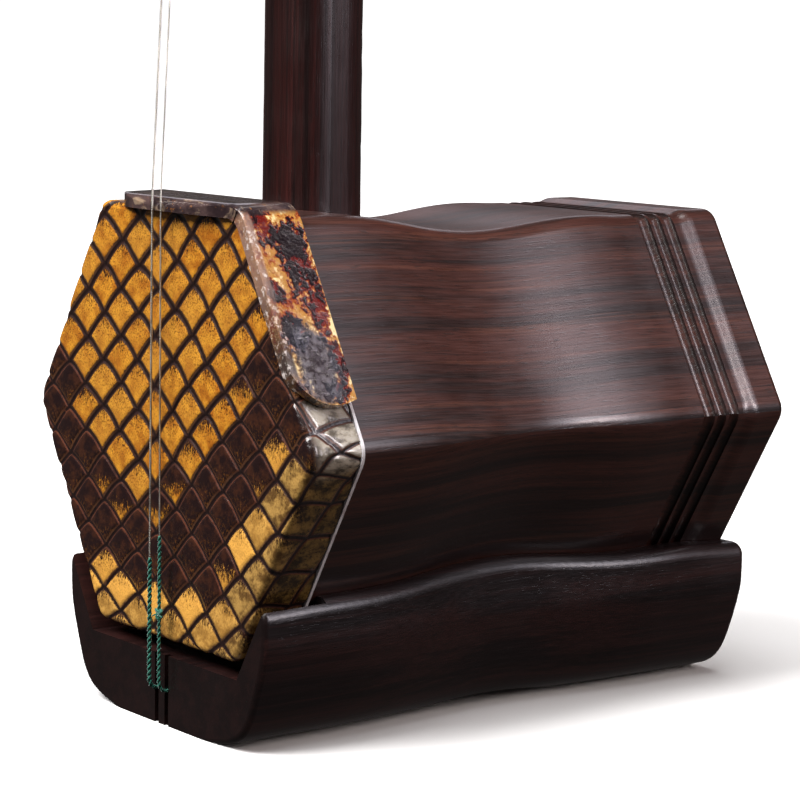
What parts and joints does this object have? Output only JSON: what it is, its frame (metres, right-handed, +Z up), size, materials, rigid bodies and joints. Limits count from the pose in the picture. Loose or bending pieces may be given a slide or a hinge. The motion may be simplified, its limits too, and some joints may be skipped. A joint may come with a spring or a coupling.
{
  "type": "erhu",
  "caption": "Two-stringed fiddle with a waisted hexagonal sound box, a snakeskin front, a tall round neck, two turning pegs and a hull-shaped cradle base.",
  "frame": {"origin": "on the floor under the neck's axis, on the flat underside of the base's front foot", "axes": "+Z up along the neck, the snakeskin faces -Y, the pegs' handles and the box's tail point to +Y"},
  "size_m": [0.1034, 0.141, 0.8095],
  "materials": {
    "box_rosewood": "satin lacquer",
    "window_wood": "satin",
    "neck_rosewood": "satin lacquer",
    "peg_wood": "satin lacquer",
    "base_wood": "satin lacquer",
    "bone": "polished bone",
    "snakeskin": "glossy scales",
    "tortoiseshell": "polished",
    "white_line": "polished",
    "string_steel": "wound wire",
    "silk": "twisted silk",
    "loop_thread": "twisted cotton",
    "steel": "zinc plated"
  },
  "bodies": {
    "instrument": {"stave_top": "box_rosewood", "stave_upper_right": "box_rosewood", "stave_lower_right": "box_rosewood", "stave_bottom": "box_rosewood", "stave_lower_left": "box_rosewood", "stave_upper_left": "box_rosewood", "rear_window": "window_wood", "neck": "neck_rosewood", "headpiece": "neck_rosewood", "base": "base_wood", "head_inlay": "bone", "snakeskin": "snakeskin", "skin_rim_guard": "tortoiseshell", "skin_edge_binding": "white_line", "inner_string": "string_steel", "outer_string": "string_steel", "inner_string_tail": "silk", "outer_string_tail": "silk", "anchor_pin": "steel", "base_screws": "steel"},
    "upper_peg_set": {"upper_peg": "peg_wood", "upper_peg_cap": "bone", "upper_peg_winding": "string_steel"},
    "lower_peg_set": {"lower_peg": "peg_wood", "lower_peg_cap": "bone", "lower_peg_winding": "string_steel"},
    "thread_loop": {"qianjin": "loop_thread"}
  },
  "joints": [
    {"name": "upper_peg_turn", "type": "hinge", "parent": "instrument", "child": "upper_peg_set", "pos_m": [0, 0, 0.706], "axis": [0, 1, 0], "continuous": true},
    {"name": "lower_peg_turn", "type": "hinge", "parent": "instrument", "child": "lower_peg_set", "pos_m": [0, 0, 0.641], "axis": [0, 1, 0], "continuous": true},
    {"name": "thread_loop_slide", "type": "slide", "parent": "instrument", "child": "thread_loop", "axis": [0, 0, 1], "range_m": [-0.005, 0.005]}
  ]
}
